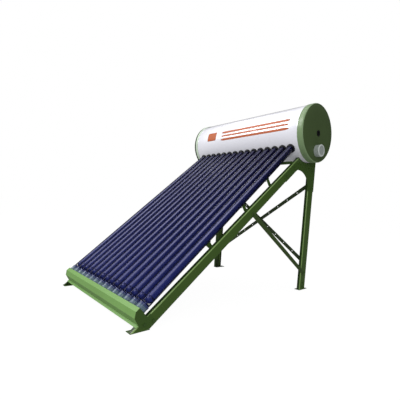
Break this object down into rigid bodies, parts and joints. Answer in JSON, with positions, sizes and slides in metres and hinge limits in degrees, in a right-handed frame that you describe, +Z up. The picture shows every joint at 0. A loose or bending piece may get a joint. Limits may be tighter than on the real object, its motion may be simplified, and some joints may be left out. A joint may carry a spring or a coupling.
{
  "type": "solar water heater",
  "caption": "Thermosiphon solar water heater: a row of glass vacuum tubes slopes up from a tail tray into a horizontal insulated tank, on a bolted sheet-steel stand.",
  "frame": {"origin": "centre of the four anchor holes, on the ground under the feet", "axes": "+Z up, +X along the tank towards the end with the heater, +Y from the tubes' lower ends towards the tank"},
  "size_m": [1.345, 1.7534, 1.5498],
  "materials": {
    "leg_paint": "satin",
    "tray_paint": "satin",
    "cap_plastic": "satin",
    "shell_enamel": "gloss",
    "foam": "matt",
    "stainless": "brushed",
    "black_rubber": "matt",
    "brass": "satin",
    "black_plastic": "matt",
    "dial_plastic": "gloss",
    "cover_plastic": "satin",
    "cup_plastic": "gloss",
    "zinc_steel": "satin",
    "tube_glass": "gloss"
  },
  "bodies": {
    "stand_and_tank": {"tank_shell": "shell_enamel", "end_cap_left": "cap_plastic", "end_cap_right": "cap_plastic", "tank_insulation": "foam", "inner_tank": "stainless", "tube_seals": "black_rubber", "dust_seals": "black_rubber", "saddle_pads": "black_rubber", "pipe_grommets": "black_rubber", "cold_inlet": "stainless", "hot_outlet": "stainless", "overflow_pipe": "stainless", "anode_rod": "brass", "electric_heater": "brass", "thermostat": "black_plastic", "cover_collar": "cap_plastic", "sensor_grommet": "black_rubber", "tail_cups": "cup_plastic", "tail_tray": "tray_paint", "tray_end_left": "leg_paint", "tray_end_right": "leg_paint", "front_leg_left": "leg_paint", "front_leg_right": "leg_paint", "rear_leg_left": "leg_paint", "rear_leg_right": "leg_paint", "tank_bracket_left": "leg_paint", "tank_bracket_right": "leg_paint", "side_brace_left": "leg_paint", "side_brace_right": "leg_paint", "rear_brace_a": "leg_paint", "rear_brace_b": "leg_paint", "crossbar_1": "leg_paint", "crossbar_2": "leg_paint", "crossbar_3": "leg_paint", "crossbar_4": "leg_paint", "crossbar_brackets": "leg_paint", "front_foot_left": "leg_paint", "front_foot_right": "leg_paint", "rear_foot_left": "leg_paint", "rear_foot_right": "leg_paint", "frame_bolts": "zinc_steel", "frame_nuts": "zinc_steel"},
    "tube_01": {"vacuum_tube_01": "tube_glass"},
    "tube_02": {"vacuum_tube_02": "tube_glass"},
    "tube_03": {"vacuum_tube_03": "tube_glass"},
    "tube_04": {"vacuum_tube_04": "tube_glass"},
    "tube_05": {"vacuum_tube_05": "tube_glass"},
    "tube_06": {"vacuum_tube_06": "tube_glass"},
    "tube_07": {"vacuum_tube_07": "tube_glass"},
    "tube_08": {"vacuum_tube_08": "tube_glass"},
    "tube_09": {"vacuum_tube_09": "tube_glass"},
    "tube_10": {"vacuum_tube_10": "tube_glass"},
    "tube_11": {"vacuum_tube_11": "tube_glass"},
    "tube_12": {"vacuum_tube_12": "tube_glass"},
    "tube_13": {"vacuum_tube_13": "tube_glass"},
    "tube_14": {"vacuum_tube_14": "tube_glass"},
    "tube_15": {"vacuum_tube_15": "tube_glass"},
    "thermostat_dial": {"thermostat_dial": "dial_plastic"},
    "heater_cover": {"heater_cover": "cover_plastic"},
    "sensor_plug": {"sensor_plug": "black_plastic"}
  },
  "joints": [
    {"name": "tube_01_slide", "type": "slide", "parent": "stand_and_tank", "child": "tube_01", "axis": [0, 0.766, 0.6428], "range_m": [0, 0.035]},
    {"name": "tube_02_slide", "type": "slide", "parent": "stand_and_tank", "child": "tube_02", "axis": [0, 0.766, 0.6428], "range_m": [0, 0.035]},
    {"name": "tube_03_slide", "type": "slide", "parent": "stand_and_tank", "child": "tube_03", "axis": [0, 0.766, 0.6428], "range_m": [0, 0.035]},
    {"name": "tube_04_slide", "type": "slide", "parent": "stand_and_tank", "child": "tube_04", "axis": [0, 0.766, 0.6428], "range_m": [0, 0.035]},
    {"name": "tube_05_slide", "type": "slide", "parent": "stand_and_tank", "child": "tube_05", "axis": [0, 0.766, 0.6428], "range_m": [0, 0.035]},
    {"name": "tube_06_slide", "type": "slide", "parent": "stand_and_tank", "child": "tube_06", "axis": [0, 0.766, 0.6428], "range_m": [0, 0.035]},
    {"name": "tube_07_slide", "type": "slide", "parent": "stand_and_tank", "child": "tube_07", "axis": [0, 0.766, 0.6428], "range_m": [0, 0.035]},
    {"name": "tube_08_slide", "type": "slide", "parent": "stand_and_tank", "child": "tube_08", "axis": [0, 0.766, 0.6428], "range_m": [0, 0.035]},
    {"name": "tube_09_slide", "type": "slide", "parent": "stand_and_tank", "child": "tube_09", "axis": [0, 0.766, 0.6428], "range_m": [0, 0.035]},
    {"name": "tube_10_slide", "type": "slide", "parent": "stand_and_tank", "child": "tube_10", "axis": [0, 0.766, 0.6428], "range_m": [0, 0.035]},
    {"name": "tube_11_slide", "type": "slide", "parent": "stand_and_tank", "child": "tube_11", "axis": [0, 0.766, 0.6428], "range_m": [0, 0.035]},
    {"name": "tube_12_slide", "type": "slide", "parent": "stand_and_tank", "child": "tube_12", "axis": [0, 0.766, 0.6428], "range_m": [0, 0.035]},
    {"name": "tube_13_slide", "type": "slide", "parent": "stand_and_tank", "child": "tube_13", "axis": [0, 0.766, 0.6428], "range_m": [0, 0.035]},
    {"name": "tube_14_slide", "type": "slide", "parent": "stand_and_tank", "child": "tube_14", "axis": [0, 0.766, 0.6428], "range_m": [0, 0.035]},
    {"name": "tube_15_slide", "type": "slide", "parent": "stand_and_tank", "child": "tube_15", "axis": [0, 0.766, 0.6428], "range_m": [0, 0.035]},
    {"name": "thermostat_turn", "type": "hinge", "parent": "stand_and_tank", "child": "thermostat_dial", "pos_m": [0.666, 0.641, 1.17978], "axis": [1, 0, 0], "range_deg": [0, 270]},
    {"name": "heater_cover_off", "type": "slide", "parent": "stand_and_tank", "child": "heater_cover", "axis": [1, 0, 0], "range_m": [0, 0.06]},
    {"name": "sensor_plug_out", "type": "slide", "parent": "stand_and_tank", "child": "sensor_plug", "axis": [1, 0, 0], "range_m": [0, 0.27]}
  ]
}
